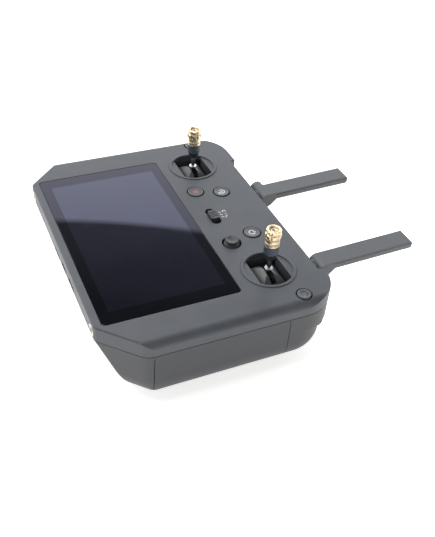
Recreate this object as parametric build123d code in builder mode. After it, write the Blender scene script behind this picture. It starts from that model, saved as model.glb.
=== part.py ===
from build123d import *
import os
from math import cos, radians, sin, sqrt

os.makedirs("parts", exist_ok=True)

# A hand-held radio transmitter with a built-in screen. +X is the user's right, +Y points away
# from the user towards the antenna tips, and +Z is up. The origin is on the resting surface,
# under the middle of the whole object. Millimetres throughout.

# ---------------------------------------------------------------- driving dimensions
BODY_WIDTH = 183.2  # across the grips
OVERALL_DEPTH = 203.4  # user edge to antenna tips
USER_EDGE = -68.7  # user edge, from the deck datum
FAR_EDGE = 67.4  # far wall between and below the shoulders
SHOULDER_EDGE = 71.0  # far wall of the two shoulders
DECK_Z = 47.6  # top of the deck
SEAM_Z = 38.0  # joint between the two casing halves
SLAB_Z = 23.0  # underside of the middle of the casing
WALL = 2.2
DECK_T = 2.4
GAP = 0.1  # assembly gap between neighbouring fixed pieces
DECK_Y = -OVERALL_DEPTH / 2 - USER_EDGE  # the deck datum lies this far along Y

# plan of the casing
HALF_W = BODY_WIDTH / 2
CORNER_X = 69.5  # where the user edge turns into the angled corner
CORNER_RUN = HALF_W - CORNER_X  # the corner is cut at 45 degrees
EDGE_R = 4.0
CORNER_R = 10.0
FAR_R = 22.0
STEP_R = 0.8
SHOULDER_R = 5.0  # rounding along the sides of the deck
LIP_R = 1.2
LEFT_STEP_X = -57.0
RIGHT_STEP_X = 68.5
STEP_RUN = 1.8

# grips
GRIP_X = 46.0  # inner wall of a grip
GRIP_CORNER_R = 19.0
GRIP_ROUND = 18.0  # rounding along the bottom of a grip
GRIP_TURNS = (0, 22.5, 45, 67.5, 90)  # where the rounding is cut into levels, in degrees
GRIP_MIN_R = 1.4
USER_LEAN = 0.45  # how far the lower casing's user side comes in for each millimetre down
USER_ROLL = 0.6  # how much of a grip's bottom rounding its user side takes
CORNER_LEAN = 0.07  # how far a grip's angled corner comes in for each millimetre down
SLAB_ROUND = 10.0
BROW_Z = 26.0  # underside of the shoulders
PANEL_T = 1.2
PANEL_Y = (-43.0, 38.0)
PANEL_LOW_X = 76.0
PANEL_CORNER_R = 4.0
PANEL_GAP = 0.35  # shadow line round a panel and between the two casing halves
SHADOW_DEPTH = 0.7

# display
GLASS_W, GLASS_H, GLASS_T = 140.5, 80.4, 1.5
GLASS_Y = -23.8
GLASS_R = 2.5
GLASS_POCKET = 1.6
LCD_W, LCD_H, LCD_T = 124.0, 70.0, 2.6
TRAY_W, TRAY_H, TRAY_T = 121.0, 81.0, 1.4
TRAY_TOP = 43.0
BOARD_TOP, BOARD_T = 38.3, 1.2
BOARD_W, BOARD_H = 124.0, 78.0
BOARD_Y = -27.0

# gimbals (the two stick units)
GIMBAL_X, GIMBAL_Y = 57.7, 39.2
RING_R, WELL_R = 16.4, 14.4
RING_TOP = 48.1
BRIDGE_Y = 9.8  # half width of the open band between the two ring segments
SEGMENT_TOP, SEGMENT_T = 47.2, 1.6
SKIRT_LOW, SKIRT_T = 40.0, 0.9
BASE_HALF = 16.3
BASE_LOW, BASE_TOP, BASE_FLOOR = 28.5, 44.7, 1.5
BASE_INNER_X, BASE_INNER_Y = 13.4, 15.0
PIVOT_Z = 37.0
YOKE_TURN_R, YOKE_ARC_R = 9.25, 13.0
YOKE_TOP = PIVOT_Z + YOKE_TURN_R
YOKE_HALF_X, YOKE_RIM_LOW = 12.0, 36.5
YOKE_WALL = 1.2
YOKE_SLOT_X, YOKE_SLOT_Y = 8.5, 1.8
CHEEK_LOW, CHEEK_OUT, CHEEK_IN = 33.5, 5.5, 4.3
TRUNNION_R, TRUNNION_END = 1.5, 15.9
CROSS_R = 1.0
FIT = 0.05  # radial clearance of every shaft in its bore

# sticks
STICK_R = 1.3
STICK_HUB_R, STICK_HUB_HALF = 3.2, 4.0
CUP_R, CUP_LOW, CUP_TOP = 2.4, 47.2, 48.6
SLEEVE_LOW, SLEEVE_NECK, SLEEVE_TOP = 55.6, 60.2, 65.4
SLEEVE_R, SLEEVE_LOW_R = 4.4, 2.6
GRIP_R, LOBE_R, NECK_R, PETAL_R = 4.2, 4.75, 3.8, 4.45
LOBE_Z = (71.0, 73.9)
NECK_TOP, STICK_TOP = 74.8, 76.5
CROWN_BORE_R, CROWN_FLOOR, BOSS_R, BOSS_TOP = 2.8, 75.0, 1.9, 75.7
SCALLOPS, SCALLOP_R, SCALLOP_AT = 8, 0.8, 4.85
STUD_TOP = 72.0

# push buttons: the cap stands proud of the casing and is held by a flange inside it
PROUD = 0.5
DISH, DISH_RIM = 0.3, 0.9  # depth of the hollow in each cap, and the rim left round it
FLANGE_T, FLANGE_GAP, FLANGE_EXTRA = 0.9, 0.3, 0.95
STEM_R, STEM_LEN = 1.5, 1.0
BUTTON_GAP = 0.75
TRAVEL = 0.6
SWITCH_GAP = 0.1
CORNER_SKIN = 3.6  # the casing is rounded over at the corner buttons, so their flanges sit deeper

# five-way control and mode slider
FIVE_X, FIVE_Y = 28.4, 29.2
FIVE_HOLE_R, FIVE_CAP_R, FIVE_STEM_R = 6.0, 5.0, 2.0
FIVE_PIVOT_Z = 44.3
FIVE_CAP_LOW, FIVE_CAP_TOP = 46.2, 50.2
FIVE_DISH_R = 10.0
FIVE_PIN_R = 0.35
FIVE_RING_R, FIVE_RING_T = 4.0, 1.2
FIVE_EAR_START, FIVE_EAR_END = 4.3, 5.2
FIVE_PRESS, FIVE_PLUNGER_T = 0.5, 0.7
SLIDER_Y = 29.4
SLIDER_LEN, SLIDER_WID = 16.4, 6.4
KNOB_LEN, KNOB_WID, KNOB_TOP = 8.4, 5.4, 49.2
KNOB_RIBS = 4
SLIDER_THROW = 3.2

# rear and far-side controls
DIAL_X, DIAL_Y, DIAL_LOW, DIAL_T, DIAL_R = 76.0, 60.4, 18.5, 6.0, 8.5
DIAL_TEETH = 28
AXLE_R = 1.5
FAR_BUTTON_X, FAR_BUTTON_Z, FAR_BUTTON_R = 74.0, 33.0, 3.5
FAR_BUTTON_SKIN = 3.9
REAR_BUTTON_X, REAR_BUTTON_Y, REAR_BUTTON_R = 30.0, 50.0, 4.0

# antennas
ANTENNA_X = {"left": -16.0, "right": 60.0}
ANTENNA_PIVOT_Y, ANTENNA_Z = 73.4, 42.85
ANTENNA_W, ANTENNA_TIP_T = 12.0, 4.7
ANTENNA_TIP_Y = OVERALL_DEPTH + USER_EDGE
ANTENNA_TIP_TOP = 49.5
BARREL_R, TONGUE_R, TONGUE_HALF = 4.7, 3.3, 2.6
FORK_GAP = 0.3
BLADE_LINE, BLADE_LINE_DOWN, BLADE_LINE_START = 0.4, 0.9, 6.0
HINGE_PIN_R = 1.1
SWIVEL_R = 3.0
COLLAR_R, COLLAR_T = 4.6, 0.8
RETAINER_R, RETAINER_LOW, RETAINER_T = 3.8, 7.6, 1.1

# ports and threaded inserts in the user edge
PORT_DEPTH = 7.0
PORTS = {"card_slot": (-6.2, 11.4, 1.9), "usb_c_port": (9.5, 9.0, 3.2), "video_port": (24.9, 11.2, 3.2)}
INSERT_X, INSERT_Z, INSERT_R, INSERT_BORE_R, INSERT_LEN = 64.8, 41.4, 2.8, 1.65, 8.0
INSERT_BOSS_R = 4.1

# casing screws, storage slots, vent, fan, cells
SCREW_XY = ((42.5, 19.9), (40.0, 59.0))
POST_R, POST_LOW = 2.9, 33.0
SCREW_R, SCREW_HEAD_R, SCREW_TOP = 1.05, 2.2, 41.0
SCREW_HEAD_LOW, SCREW_HEAD_T = 25.2, 1.3
SLOT_X, SLOT_Y, SLOT_W, SLOT_L, SLOT_D = 38.0, -24.0, 10.5, 44.0, 7.0
VENT_Y, VENT_W, VENT_H = -22.0, 50.0, 26.0
VENT_SLATS, VENT_SLAT_W = 8, 1.8
FAN_X, FAN_Y, FAN_SIZE, FAN_LOW, FAN_T = 14.0, -26.0, 32.0, 26.0, 8.4
FAN_ROTOR_R, FAN_BLADES = 12.0, 11
SINK_X, SINK_W, SINK_H, SINK_FINS = -16.5, 26.0, 34.0, 8
SPEAKER_Y = 49.0
CELL_R, CELL_LEN, CELL_X, CELL_Y, CELL_Z = 10.5, 70.0, 71.0, -2.0, 14.0

SIDES = {"left": -1, "right": 1}
LOW = (Align.CENTER, Align.CENTER, Align.MIN)


# ---------------------------------------------------------------- helpers
def deck(x, y):
    """A plan point given from the deck datum."""
    return (x, y + DECK_Y)


def save(builder, name):
    """Labels a finished piece and writes its file."""
    builder.part.label = name
    export_step(builder.part, f"parts/{name}.step")


def plan_outline(inset=0.0):
    """The casing seen from above."""
    corners = [
        ((-CORNER_X, USER_EDGE), EDGE_R),
        ((CORNER_X, USER_EDGE), EDGE_R),
        ((HALF_W, USER_EDGE + CORNER_RUN), CORNER_R),
        ((HALF_W, SHOULDER_EDGE), FAR_R),
        ((RIGHT_STEP_X, SHOULDER_EDGE), STEP_R),
        ((RIGHT_STEP_X - STEP_RUN, FAR_EDGE), STEP_R),
        ((LEFT_STEP_X + STEP_RUN, FAR_EDGE), STEP_R),
        ((LEFT_STEP_X, SHOULDER_EDGE), STEP_R),
        ((-HALF_W, SHOULDER_EDGE), FAR_R),
        ((-HALF_W, USER_EDGE + CORNER_RUN), CORNER_R),
    ]
    with BuildSketch() as outline:
        with BuildLine():
            FilletPolyline(
                *[deck(x, y) for (x, y), _ in corners], radius=[r for _, r in corners], close=True
            )
        make_face()
        if inset:
            offset(amount=-inset)
    return outline.sketch


def grip_outline(side, height, wall, roll_in):
    """One grip seen from above, cut at a height below the seam, where its user side has leant in."""
    drop = SEAM_Z - height
    inset = wall + roll_in
    near_y = USER_EDGE + USER_LEAN * drop + wall + USER_ROLL * roll_in
    cut = CORNER_X - USER_EDGE - sqrt(2) * (CORNER_LEAN * drop + inset)  # x - y along the angled corner
    side_x = HALF_W - inset
    corners = [
        ((GRIP_X + inset, near_y), GRIP_CORNER_R),
        ((cut + near_y, near_y), EDGE_R),
        ((side_x, side_x - cut), CORNER_R),
        ((side_x, FAR_EDGE - inset), FAR_R),
        ((GRIP_X + inset, FAR_EDGE - inset), GRIP_CORNER_R),
    ]
    with BuildSketch() as outline:
        with BuildLine():
            FilletPolyline(
                *[deck(side * x, y) for (x, y), _ in corners],
                radius=[max(r - inset, GRIP_MIN_R) for _, r in corners],
                close=True,
            )
        make_face()
    return outline.sketch


def grip_body(side, inset=0.0):
    """One grip, rounded all along its bottom, up to the casing seam."""
    roll = GRIP_ROUND - inset
    levels = [(inset + roll * (1 - sin(radians(a))), roll * (1 - cos(radians(a)))) for a in GRIP_TURNS]
    with BuildPart() as grip:
        for height in (SEAM_Z, GRIP_ROUND):
            with BuildSketch(Plane.XY.offset(height)):
                add(grip_outline(side, height, inset, 0))
        loft(ruled=True)
        for height, roll_in in levels:
            with BuildSketch(Plane.XY.offset(height)):
                add(grip_outline(side, height, inset, roll_in))
        loft()
    return grip.part


def slab_body(inset=0.0):
    """The shallow middle of the lower casing, and the shoulders over the grips' far ends."""
    near_y = DECK_Y + USER_EDGE + inset
    with BuildPart() as slab:
        with BuildSketch(Plane.YZ) as profile:
            with BuildLine():
                Polyline(
                    (near_y, SEAM_Z),
                    (near_y + USER_LEAN * (SEAM_Z - SLAB_Z - inset), SLAB_Z + inset),
                    (DECK_Y + FAR_EDGE - inset, SLAB_Z + inset),
                    (DECK_Y + FAR_EDGE - inset, SEAM_Z),
                    close=True,
                )
            make_face()
            low_corners = profile.vertices().group_by(Axis.Y)[0]
            fillet(low_corners, radius=SLAB_ROUND - inset)
        extrude(amount=GRIP_X + GRIP_CORNER_R, both=True)
        with BuildSketch(Plane.XY.offset(BROW_Z + inset)):
            add(plan_outline(inset))
            with Locations(deck(0, FAR_EDGE - FAR_R)):
                Rectangle(2 * BODY_WIDTH, OVERALL_DEPTH, align=(Align.CENTER, Align.MAX), mode=Mode.SUBTRACT)
        extrude(amount=SEAM_Z - BROW_Z - inset)
    return slab.part


def upper_body(inset, low, high, lip=0.0):
    """The upper casing's outer shape between two heights, with rounded sides and a softened lip."""
    with BuildPart() as upper:
        with BuildSketch(Plane.XY.offset(low)):
            add(plan_outline(inset))
        rise = lip * sin(radians(60))
        extrude(amount=high - low - rise)
        if lip:
            levels = [(lip * (1 - cos(radians(a))), lip * sin(radians(a))) for a in (0, 30, 60)]
            for (near_in, near_up), (far_in, far_up) in zip(levels, levels[1:]):
                with BuildSketch(Plane.XY.offset(high - rise + near_up)):
                    add(plan_outline(inset + near_in))
                with BuildSketch(Plane.XY.offset(high - rise + far_up)):
                    add(plan_outline(inset + far_in))
                loft(ruled=True)
        with BuildSketch(Plane.XZ) as section:
            with Locations((0, high - DECK_Z / 2)):
                Rectangle(BODY_WIDTH - 2 * inset, DECK_Z)
            fillet(section.vertices().group_by(Axis.Y)[-1], radius=SHOULDER_R - inset)
        extrude(amount=OVERALL_DEPTH, both=True, mode=Mode.INTERSECT)
    return upper.part


def side_window(side, gap=0.0):
    """The prism that bounds a grip's side panel."""
    low_y, high_y = PANEL_Y
    with BuildPart() as window:
        with BuildSketch(Plane.YZ.offset(side * (PANEL_LOW_X - gap))) as shape:
            with Locations((DECK_Y + (low_y + high_y) / 2, SEAM_Z / 2 - DECK_Z / 2)):
                Rectangle(high_y - low_y + 2 * gap, SEAM_Z + DECK_Z)
            fillet(shape.vertices().group_by(Axis.Y)[-1], radius=PANEL_CORNER_R + gap)
        extrude(amount=side * HALF_W)
    return window.part


def push_button(plane, cap_r, skin):
    """A round button: dished cap, retaining flange and switch stem. The plane lies on the casing."""
    with BuildPart(plane) as button:
        with Locations((0, 0, -skin - FLANGE_GAP)):
            Cylinder(cap_r, skin + FLANGE_GAP + PROUD, align=LOW)
        top_edge = button.edges().filter_by(GeomType.CIRCLE).sort_by(SortBy.DISTANCE)
        rim = [e for e in top_edge if abs(plane.to_local_coords(e.center()).Z - PROUD) < 0.01]
        fillet(rim, radius=0.5)
        dish_r = ((cap_r - DISH_RIM) ** 2 + DISH**2) / (2 * DISH)
        with Locations((0, 0, PROUD - DISH + dish_r)):
            Sphere(dish_r, mode=Mode.SUBTRACT)
        with Locations((0, 0, -skin - FLANGE_GAP - FLANGE_T)):
            Cylinder(cap_r + FLANGE_EXTRA, FLANGE_T, align=LOW)
        with Locations((0, 0, -skin - FLANGE_GAP - FLANGE_T - STEM_LEN)):
            Cylinder(STEM_R, STEM_LEN, align=LOW)
    return button


def yoke_dome(cx, cy, inset, low, half_y):
    """A gimbal yoke's outer form: arched along X, and round about its turning axis across Y."""
    half_x = YOKE_HALF_X - inset
    arc_r = YOKE_ARC_R - inset
    arc_z = YOKE_TOP - YOKE_ARC_R
    end_z = arc_z + sqrt(arc_r**2 - half_x**2)
    with BuildPart() as dome:
        with BuildSketch(Plane((cx, cy, 0), x_dir=(1, 0, 0), z_dir=(0, -1, 0))):
            with BuildLine():
                ThreePointArc((half_x, end_z), (0, arc_z + arc_r), (-half_x, end_z))
                Polyline((-half_x, end_z), (-half_x, low), (half_x, low), (half_x, end_z))
            make_face()
        extrude(amount=half_y, both=True)
        with BuildSketch(Plane((cx, cy, PIVOT_Z), x_dir=(0, 1, 0), z_dir=(1, 0, 0))):
            Circle(YOKE_TURN_R - inset)
        extrude(amount=2 * YOKE_HALF_X, both=True, mode=Mode.INTERSECT)
    return dome.part


# where each round button sits: casing surface point, outward direction, cap radius, wall depth there
BUTTONS = {
    "return_button": ((*deck(-28.4, 29.2), DECK_Z), (0, 0, 1), 5.05, DECK_T),
    "pause_button": ((*deck(-23.2, 45.4), DECK_Z), (0, 0, 1), 5.05, DECK_T),
    "power_button": ((*deck(23.2, 45.4), DECK_Z), (0, 0, 1), 5.05, DECK_T),
    "back_button": ((*deck(-84.0, 48.3), DECK_Z), (0, 0, 1), 4.05, CORNER_SKIN),
    "confirm_button": ((*deck(84.0, 48.3), DECK_Z), (0, 0, 1), 4.05, CORNER_SKIN),
}
FAR_WALL_Y = SHOULDER_EDGE - FAR_R + sqrt(FAR_R**2 - (FAR_BUTTON_X - HALF_W + FAR_R) ** 2)
for far_name, far_side in (("record_button", -1), ("shutter_button", 1)):
    far_spot = (*deck(far_side * FAR_BUTTON_X, FAR_WALL_Y), FAR_BUTTON_Z)
    BUTTONS[far_name] = (far_spot, (0, 1, 0), FAR_BUTTON_R, FAR_BUTTON_SKIN)
for rear_name, rear_side in (("rear_button_left", -1), ("rear_button_right", 1)):
    rear_spot = (*deck(rear_side * REAR_BUTTON_X, REAR_BUTTON_Y), SLAB_Z)
    BUTTONS[rear_name] = (rear_spot, (0, 0, -1), REAR_BUTTON_R, WALL)

STACK = FLANGE_GAP + FLANGE_T + STEM_LEN + TRAVEL + SWITCH_GAP  # casing's inner face to a switch
SWITCH_T, BUTTON_BOARD_T = 0.6, 1.2
BUTTON_BOARD_TOP = DECK_Z - DECK_T - STACK - SWITCH_T
CORNER_BOARD_TOP = DECK_Z - CORNER_SKIN - STACK - SWITCH_T

# ---------------------------------------------------------------- casing
upper_cavity = upper_body(WALL, SEAM_Z - 1.0, DECK_Z - DECK_T)
with BuildPart() as top_shell:
    add(upper_body(0, SEAM_Z, DECK_Z, LIP_R))
    add(upper_cavity, mode=Mode.SUBTRACT)
    # glass pocket and the opening behind it
    with BuildSketch(Plane.XY.offset(DECK_Z - GLASS_POCKET)):
        with Locations(deck(0, GLASS_Y)):
            RectangleRounded(GLASS_W + 4 * GAP, GLASS_H + 4 * GAP, GLASS_R + GAP)
    extrude(amount=GLASS_POCKET, mode=Mode.SUBTRACT)
    with BuildSketch(Plane.XY.offset(DECK_Z - DECK_T)):
        with Locations(deck(0, GLASS_Y)):
            Rectangle(LCD_W + 4 * GAP, LCD_H + 4 * GAP)
    extrude(amount=DECK_T, mode=Mode.SUBTRACT)
    # wells, button holes and the slider slot
    with BuildSketch(Plane.XY.offset(DECK_Z - DECK_T - 1)):
        with Locations(deck(-GIMBAL_X, GIMBAL_Y), deck(GIMBAL_X, GIMBAL_Y)):
            Circle(RING_R + GAP)
        with Locations(deck(FIVE_X, FIVE_Y)):
            Circle(FIVE_HOLE_R)
        with Locations(deck(0, SLIDER_Y)):
            SlotOverall(SLIDER_LEN, SLIDER_WID)
        for spot, direction, cap_r, _ in BUTTONS.values():
            if direction == (0, 0, 1):
                with Locations(spot[:2]):
                    Circle(cap_r + BUTTON_GAP)
    extrude(amount=DECK_T + 2, mode=Mode.SUBTRACT)
    # posts that take the casing screws
    posts = [deck(side * x, y) for x, y in SCREW_XY for side in SIDES.values()]
    with BuildSketch(Plane.XY.offset(POST_LOW)):
        with Locations(*posts):
            Circle(POST_R)
    extrude(amount=DECK_Z - DECK_T - POST_LOW)
    with BuildSketch(Plane.XY.offset(POST_LOW)):
        with Locations(*posts):
            Circle(SCREW_R + FIT)
    extrude(amount=SCREW_TOP + 0.5 - POST_LOW, mode=Mode.SUBTRACT)
    # bosses round the threaded inserts, and round the antenna swivels
    for side in SIDES.values():
        boss_plane = Plane((*deck(side * INSERT_X, USER_EDGE + WALL / 2), INSERT_Z), z_dir=(0, 1, 0))
        with BuildSketch(boss_plane):
            Circle(INSERT_BOSS_R)
        extrude(amount=INSERT_LEN + WALL / 2)
        with BuildSketch(boss_plane.offset(-WALL)):
            Circle(INSERT_R)
        extrude(amount=INSERT_LEN + WALL, mode=Mode.SUBTRACT)
    for x in ANTENNA_X.values():
        swivel_plane = Plane((*deck(x, FAR_EDGE - WALL / 2), ANTENNA_Z), z_dir=(0, -1, 0))
        with BuildSketch(swivel_plane):
            Circle(COLLAR_R)
        extrude(amount=4.0)
        with BuildSketch(swivel_plane.offset(-WALL)):
            Circle(SWIVEL_R + FIT)
        extrude(amount=4.0 + 2 * WALL, mode=Mode.SUBTRACT)
        with BuildSketch(swivel_plane.offset(4.0)):
            Circle(RETAINER_R + 0.2)
        extrude(amount=RETAINER_LOW - 4.0, mode=Mode.SUBTRACT)
    # port openings
    for x, width, height in PORTS.values():
        port_z = BOARD_TOP + height / 2
        with BuildSketch(Plane((*deck(x, USER_EDGE - 1), port_z), x_dir=(1, 0, 0), z_dir=(0, 1, 0))):
            RectangleRounded(width + 2 * GAP, height + 2 * GAP, (height + 2 * GAP) / 2.2)
        extrude(amount=WALL + 1.5, mode=Mode.SUBTRACT)
    # nothing of the upper shell hangs over the seam except the posts
    with BuildSketch(Plane.XY.offset(SEAM_Z - 5)) as trim:
        Rectangle(2 * BODY_WIDTH, 2 * OVERALL_DEPTH)
        with Locations(*posts):
            Circle(POST_R, mode=Mode.SUBTRACT)
    extrude(amount=5, mode=Mode.SUBTRACT)
save(top_shell, "top_shell")

with BuildPart() as bottom_shell:
    add(slab_body())
    for side in SIDES.values():
        add(grip_body(side))
    add(slab_body(WALL), mode=Mode.SUBTRACT)
    for side in SIDES.values():
        add(grip_body(side, WALL), mode=Mode.SUBTRACT)
    # recesses for the side panels
    for side in SIDES.values():
        recess = side_window(side) - grip_body(side, PANEL_T + GAP)
        add(recess, mode=Mode.SUBTRACT)
    # shadow line under the seam
    with BuildSketch(Plane.XY.offset(SEAM_Z - PANEL_GAP)):
        add(plan_outline(-1))
        add(plan_outline(SHADOW_DEPTH), mode=Mode.SUBTRACT)
    extrude(amount=PANEL_GAP, mode=Mode.SUBTRACT)
    # walls of the two storage slots, then the slots
    slot_spots = [deck(side * SLOT_X, SLOT_Y) for side in SIDES.values()]
    with BuildSketch(Plane.XY.offset(SLAB_Z + WALL / 2)):
        with Locations(*slot_spots):
            RectangleRounded(SLOT_W + 3, SLOT_L + 3, 3)
    extrude(amount=SLOT_D + 1.5 - WALL / 2)
    with BuildSketch(Plane.XY.offset(SLAB_Z)):
        with Locations(*slot_spots):
            RectangleRounded(SLOT_W, SLOT_L, 2)
    extrude(amount=SLOT_D, mode=Mode.SUBTRACT)
    # screw bosses with counterbored holes, and posts for the rear switches
    with BuildSketch(Plane.XY.offset(SLAB_Z + WALL / 2)):
        with Locations(*posts):
            Circle(POST_R)
    extrude(amount=POST_LOW - GAP - SLAB_Z - WALL / 2)
    with BuildSketch(Plane.XY.offset(SLAB_Z)):
        with Locations(*posts):
            Circle(SCREW_R + 0.25)
    extrude(amount=POST_LOW - SLAB_Z, mode=Mode.SUBTRACT)
    with BuildSketch(Plane.XY.offset(SLAB_Z)):
        with Locations(*posts):
            Circle(SCREW_HEAD_R + 0.2)
    extrude(amount=SCREW_HEAD_LOW + SCREW_HEAD_T - SLAB_Z, mode=Mode.SUBTRACT)
    with BuildSketch(Plane.XY.offset(SLAB_Z + WALL / 2)):
        for side in SIDES.values():
            with Locations(deck(side * REAR_BUTTON_X, REAR_BUTTON_Y)):
                with GridLocations(0, 14, 1, 2):
                    Circle(1.6)
    extrude(amount=WALL / 2 + STACK)
    # vent opening, with a ledge round it for the grille
    with BuildSketch(Plane.XY.offset(SLAB_Z)):
        with Locations(deck(0, VENT_Y)):
            RectangleRounded(VENT_W, VENT_H, 3)
    extrude(amount=WALL / 2, mode=Mode.SUBTRACT)
    with BuildSketch(Plane.XY.offset(SLAB_Z)):
        with Locations(deck(0, VENT_Y)):
            RectangleRounded(VENT_W - 4, VENT_H - 4, 2)
    extrude(amount=WALL, mode=Mode.SUBTRACT)
    # speaker holes
    with BuildSketch(Plane.XY.offset(SLAB_Z)):
        with Locations(deck(0, SPEAKER_Y)):
            with GridLocations(3, 3, 6, 3):
                Circle(0.8)
    extrude(amount=WALL, mode=Mode.SUBTRACT)
    # holes for the rear and far-side buttons, and the dial openings
    for spot, direction, cap_r, skin in BUTTONS.values():
        if direction != (0, 0, 1):
            with BuildSketch(Plane(spot, z_dir=direction).offset(-skin - 0.2)):
                Circle(cap_r + BUTTON_GAP / 2)
            extrude(amount=skin + 2, mode=Mode.SUBTRACT)
    for side in SIDES.values():
        with BuildSketch(Plane.XY.offset(DIAL_LOW - 0.4)):
            with Locations(deck(side * DIAL_X, DIAL_Y)):
                Circle(DIAL_R + 0.5)
        extrude(amount=DIAL_T + 0.8, mode=Mode.SUBTRACT)
save(bottom_shell, "bottom_shell")

for side_name, side in SIDES.items():
    with BuildPart() as side_panel:
        add(grip_body(side))
        add(grip_body(side, PANEL_T), mode=Mode.SUBTRACT)
        add(side_window(side, -PANEL_GAP), mode=Mode.INTERSECT)
        with BuildSketch(Plane.XY.offset(SEAM_Z - PANEL_GAP)):
            Rectangle(2 * BODY_WIDTH, 2 * OVERALL_DEPTH)
        extrude(amount=PANEL_GAP, mode=Mode.SUBTRACT)
    save(side_panel, f"side_panel_{side_name}")

with BuildPart() as casing_screws:
    with BuildSketch(Plane.XY.offset(SCREW_HEAD_LOW)):
        with Locations(*posts):
            Circle(SCREW_HEAD_R)
    extrude(amount=SCREW_HEAD_T)
    with BuildSketch(Plane.XY.offset(SCREW_HEAD_LOW)):
        with Locations(*posts):
            Circle(SCREW_R)
    extrude(amount=SCREW_TOP - SCREW_HEAD_LOW)
    with BuildSketch(Plane.XY.offset(SCREW_HEAD_LOW)):
        with Locations(*posts):
            Rectangle(2.4, 0.5)
            Rectangle(0.5, 2.4)
    extrude(amount=0.7, mode=Mode.SUBTRACT)
save(casing_screws, "casing_screws")

with BuildPart() as vent_grille:
    with BuildSketch(Plane.XY.offset(SLAB_Z + 0.05)):
        with Locations(deck(0, VENT_Y)):
            RectangleRounded(VENT_W - 2 * GAP, VENT_H - 2 * GAP, 3 - GAP)
            with GridLocations(VENT_W / (VENT_SLATS + 2), 0, VENT_SLATS, 1):
                SlotOverall(VENT_H - 8, VENT_SLAT_W, rotation=90, mode=Mode.SUBTRACT)
    extrude(amount=WALL / 2 - 0.1)
save(vent_grille, "vent_grille")

# ---------------------------------------------------------------- display
with BuildPart() as screen_glass:
    with BuildSketch(Plane.XY.offset(DECK_Z - GLASS_POCKET + 0.05)):
        with Locations(deck(0, GLASS_Y)):
            RectangleRounded(GLASS_W, GLASS_H, GLASS_R)
    extrude(amount=GLASS_T)
    chamfer(screen_glass.faces().sort_by(Axis.Z)[-1].edges(), length=0.25)
save(screen_glass, "screen_glass")

LCD_TOP = DECK_Z - GLASS_POCKET - GAP
with BuildPart(Plane((*deck(0, GLASS_Y), LCD_TOP - LCD_T))) as display_panel:
    Box(LCD_W, LCD_H, LCD_T, align=LOW)
save(display_panel, "display_panel")

with BuildPart() as display_tray:
    with BuildSketch(Plane.XY.offset(TRAY_TOP - TRAY_T)):
        with Locations(deck(0, GLASS_Y)):
            Rectangle(TRAY_W, TRAY_H)
            with GridLocations(40, 30, 3, 2):
                RectangleRounded(30, 18, 3, mode=Mode.SUBTRACT)
        with Locations(*posts):
            Circle(POST_R + 3 * GAP, mode=Mode.SUBTRACT)
    extrude(amount=TRAY_T)
save(display_tray, "display_tray")

# ---------------------------------------------------------------- electronics
with BuildPart() as main_board:
    with BuildSketch(Plane.XY.offset(BOARD_TOP - BOARD_T)):
        with Locations(deck(0, BOARD_Y)):
            Rectangle(BOARD_W, BOARD_H)
        with Locations(*posts):
            Circle(POST_R + 3 * GAP, mode=Mode.SUBTRACT)
    extrude(amount=BOARD_T)
    with BuildSketch(Plane.XY.offset(BOARD_TOP)):
        with Locations(deck(0, BOARD_Y + 8)):
            with GridLocations(30, 22, 4, 2):
                Rectangle(14, 12)
    extrude(amount=1.2)
save(main_board, "main_board")

SHIELD_TOP, SHIELD_T = BOARD_TOP - BOARD_T - 0.05, 2.0
with BuildPart() as shield_can:
    with BuildSketch(Plane.XY.offset(SHIELD_TOP - SHIELD_T)):
        with Locations(deck(SINK_X, FAN_Y)):
            RectangleRounded(SINK_W, SINK_H, 1.5)
    extrude(amount=SHIELD_T)
save(shield_can, "shield_can")

SINK_TOP, SINK_LOW = SHIELD_TOP - SHIELD_T - 0.05, 26.4
with BuildPart() as heat_sink:
    with BuildSketch(Plane.XY.offset(SINK_TOP - 1.6)):
        with Locations(deck(SINK_X, FAN_Y)):
            Rectangle(SINK_W, SINK_H)
    extrude(amount=1.6)
    with BuildSketch(Plane.XY.offset(SINK_LOW)):
        with Locations(deck(SINK_X, FAN_Y)):
            with GridLocations(0, SINK_H / SINK_FINS, 1, SINK_FINS):
                Rectangle(SINK_W, 1.0)
    extrude(amount=SINK_TOP - 1.6 - SINK_LOW)
save(heat_sink, "heat_sink")

with BuildPart() as fan_housing:
    with BuildSketch(Plane.XY.offset(FAN_LOW)):
        with Locations(deck(FAN_X, FAN_Y)):
            RectangleRounded(FAN_SIZE, FAN_SIZE, 4)
    extrude(amount=FAN_T)
    with BuildSketch(Plane.XY.offset(FAN_LOW + 0.8)):
        with Locations(deck(FAN_X, FAN_Y)):
            Circle(FAN_ROTOR_R + 1.2)
        with Locations(deck(FAN_X - FAN_SIZE / 2, FAN_Y)):
            Rectangle(FAN_SIZE / 2, 18)
    extrude(amount=FAN_T - 1.8, mode=Mode.SUBTRACT)
    with BuildSketch(Plane.XY.offset(FAN_LOW)):
        with Locations(deck(FAN_X, FAN_Y)):
            Circle(FAN_ROTOR_R - 2.5)
    extrude(amount=0.8, mode=Mode.SUBTRACT)
    with BuildSketch(Plane.XY.offset(FAN_LOW + 1.6)):
        with Locations(deck(FAN_X, FAN_Y)):
            Circle(1.0)
    extrude(amount=FAN_T - 2.0)
save(fan_housing, "fan_housing")

with BuildPart() as fan_impeller:
    with BuildSketch(Plane.XY.offset(FAN_LOW + 1.2)):
        with Locations(deck(FAN_X, FAN_Y)):
            Circle(5.0)
            with PolarLocations(FAN_ROTOR_R - 3.8, FAN_BLADES):
                Rectangle(7.6, 0.8, rotation=22)
            Circle(1.0 + FIT, mode=Mode.SUBTRACT)
    extrude(amount=FAN_T - 3.0)
save(fan_impeller, "fan_impeller")

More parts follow.
